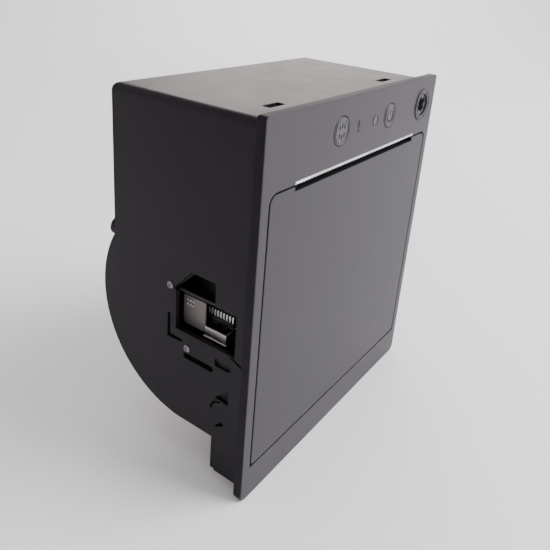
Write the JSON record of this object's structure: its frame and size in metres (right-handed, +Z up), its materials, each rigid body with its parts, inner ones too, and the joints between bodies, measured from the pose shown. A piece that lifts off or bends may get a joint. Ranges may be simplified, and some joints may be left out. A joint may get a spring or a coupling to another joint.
{
  "type": "panel-mounted receipt printer",
  "caption": "Panel-mounted receipt printer: dark box with a drum-shaped roll bucket, a flanged front, a drop-down door with a paper slot, push buttons, a release key and a side interface bay.",
  "frame": {"origin": "centre of the front flange, in the plane of its back face, where it seats on the panel", "axes": "+X across the front, +Y back into the panel, +Z up"},
  "size_m": [0.115, 0.0683, 0.131],
  "materials": {
    "housing_plastic": "fine moulded grain, nearly black",
    "bezel_plastic": "satin dark grey moulding",
    "door_plastic": "satin dark grey moulding",
    "inner_plastic": "black moulding",
    "button_plastic": "satin dark grey cap",
    "key_plastic": "dark grey moulding",
    "sensor_plastic": "black moulding",
    "blade_steel": "bright cut edge",
    "steel": "zinc plated sheet",
    "bright_steel": "ground bar",
    "screws": "zinc plated",
    "spring_steel": "drawn wire",
    "motor_can": "grey can",
    "board_green": "solder resist",
    "lens_red": "smoked lens, unlit",
    "lens_green": "smoked lens, unlit",
    "led_epoxy": "clear epoxy",
    "capacitor_sleeve": "shrunk sleeve",
    "flat_cable": "white film",
    "bush_plastic": "natural acetal",
    "roller_rubber": "ground rubber",
    "gear_plastic": "natural acetal",
    "pinion_brass": "cut teeth",
    "head_aluminium": "extruded",
    "head_ceramic": "glazed ceramic strip"
  },
  "bodies": {
    "printer": {"main_housing": "housing_plastic", "front_bezel": "bezel_plastic", "tear_bar": "blade_steel", "roll_bucket": "inner_plastic", "hinge_pins": "housing_plastic", "key_escutcheon": "bezel_plastic", "key_board": "board_green", "key_board_screws": "screws", "tact_switches": "sensor_plastic", "indicator_leds": "led_epoxy", "error_light": "lens_red", "status_light": "lens_green", "mech_plate_left": "steel", "mech_plate_right": "steel", "backing_bar": "steel", "paper_guide": "inner_plastic", "paper_sensor": "sensor_plastic", "near_end_sensor": "sensor_plastic", "head_pivot": "bright_steel", "head_springs": "spring_steel", "stepper_motor": "motor_can", "motor_screws": "screws", "idler_post": "bright_steel", "main_board": "board_green", "board_screws": "screws", "board_chips": "sensor_plastic", "board_capacitors": "capacitor_sleeve", "button_ribbon": "flat_cable", "head_ribbon": "flat_cable", "interface_board": "board_green", "interface_frame": "inner_plastic", "interface_screws": "screws", "usb_socket": "bright_steel", "pin_header": "sensor_plastic", "header_pins": "bright_steel", "shield_plate": "steel", "power_socket": "sensor_plastic"},
    "door": {"door_panel": "door_plastic", "door_frame": "inner_plastic", "platen_bushes": "bush_plastic"},
    "platen": {"platen_shaft": "bright_steel", "platen_rubber": "roller_rubber", "platen_gear": "gear_plastic"},
    "idler": {"idler_gear": "gear_plastic"},
    "pinion": {"motor_shaft": "bright_steel", "motor_pinion": "pinion_brass"},
    "head": {"head_heatsink": "head_aluminium", "print_head": "head_ceramic"},
    "latch": {"latch_shaft": "bright_steel", "latch_hooks": "steel", "latch_spring": "spring_steel"},
    "key": {"key_rotor": "key_plastic"},
    "feed_key": {"feed_button": "button_plastic"},
    "power_key": {"power_button": "button_plastic"}
  },
  "joints": [
    {"name": "door_swing", "type": "hinge", "parent": "printer", "child": "door", "pos_m": [0, 0.0092, -0.0365], "axis": [1, 0, 0], "range_deg": [0, 85]},
    {"name": "platen_turn", "type": "hinge", "parent": "door", "child": "platen", "pos_m": [0, 0.008, 0.0343], "axis": [1, 0, 0], "continuous": true},
    {"name": "idler_turn", "type": "hinge", "parent": "printer", "child": "idler", "pos_m": [0, 0.02622, 0.03686], "axis": [1, 0, 0], "continuous": true},
    {"name": "motor_turn", "type": "hinge", "parent": "printer", "child": "pinion", "pos_m": [0, 0.0381, 0.04874], "axis": [1, 0, 0], "continuous": true},
    {"name": "head_lift", "type": "hinge", "parent": "printer", "child": "head", "pos_m": [0, 0.0205, 0.05], "axis": [1, 0, 0], "range_deg": [0, 3], "stiffness_Nm_per_rad": 2, "springref_deg": -5.73, "deforming": ["head_springs"]},
    {"name": "key_turn", "type": "hinge", "parent": "printer", "child": "key", "pos_m": [0.0458, 0, 0.0548], "axis": [0, -1, 0], "range_deg": [0, 90]},
    {"name": "latch_release", "type": "hinge", "parent": "printer", "child": "latch", "pos_m": [0, 0.0145, 0.0555], "axis": [-1, 0, 0], "range_deg": [0, 12.6]},
    {"name": "feed_press", "type": "slide", "parent": "printer", "child": "feed_key", "axis": [0, 1, 0], "range_m": [0, 0.001], "stiffness_N_per_m": 600, "springref_m": -0.0005},
    {"name": "power_press", "type": "slide", "parent": "printer", "child": "power_key", "axis": [0, 1, 0], "range_m": [0, 0.001], "stiffness_N_per_m": 600, "springref_m": -0.0005}
  ],
  "couplings": [
    {"joint": "idler_turn", "follows": "platen_turn", "ratio": -0.53333},
    {"joint": "motor_turn", "follows": "platen_turn", "ratio": 1.3333},
    {"joint": "key_turn", "follows": "latch_release", "ratio": 7.1429}
  ]
}
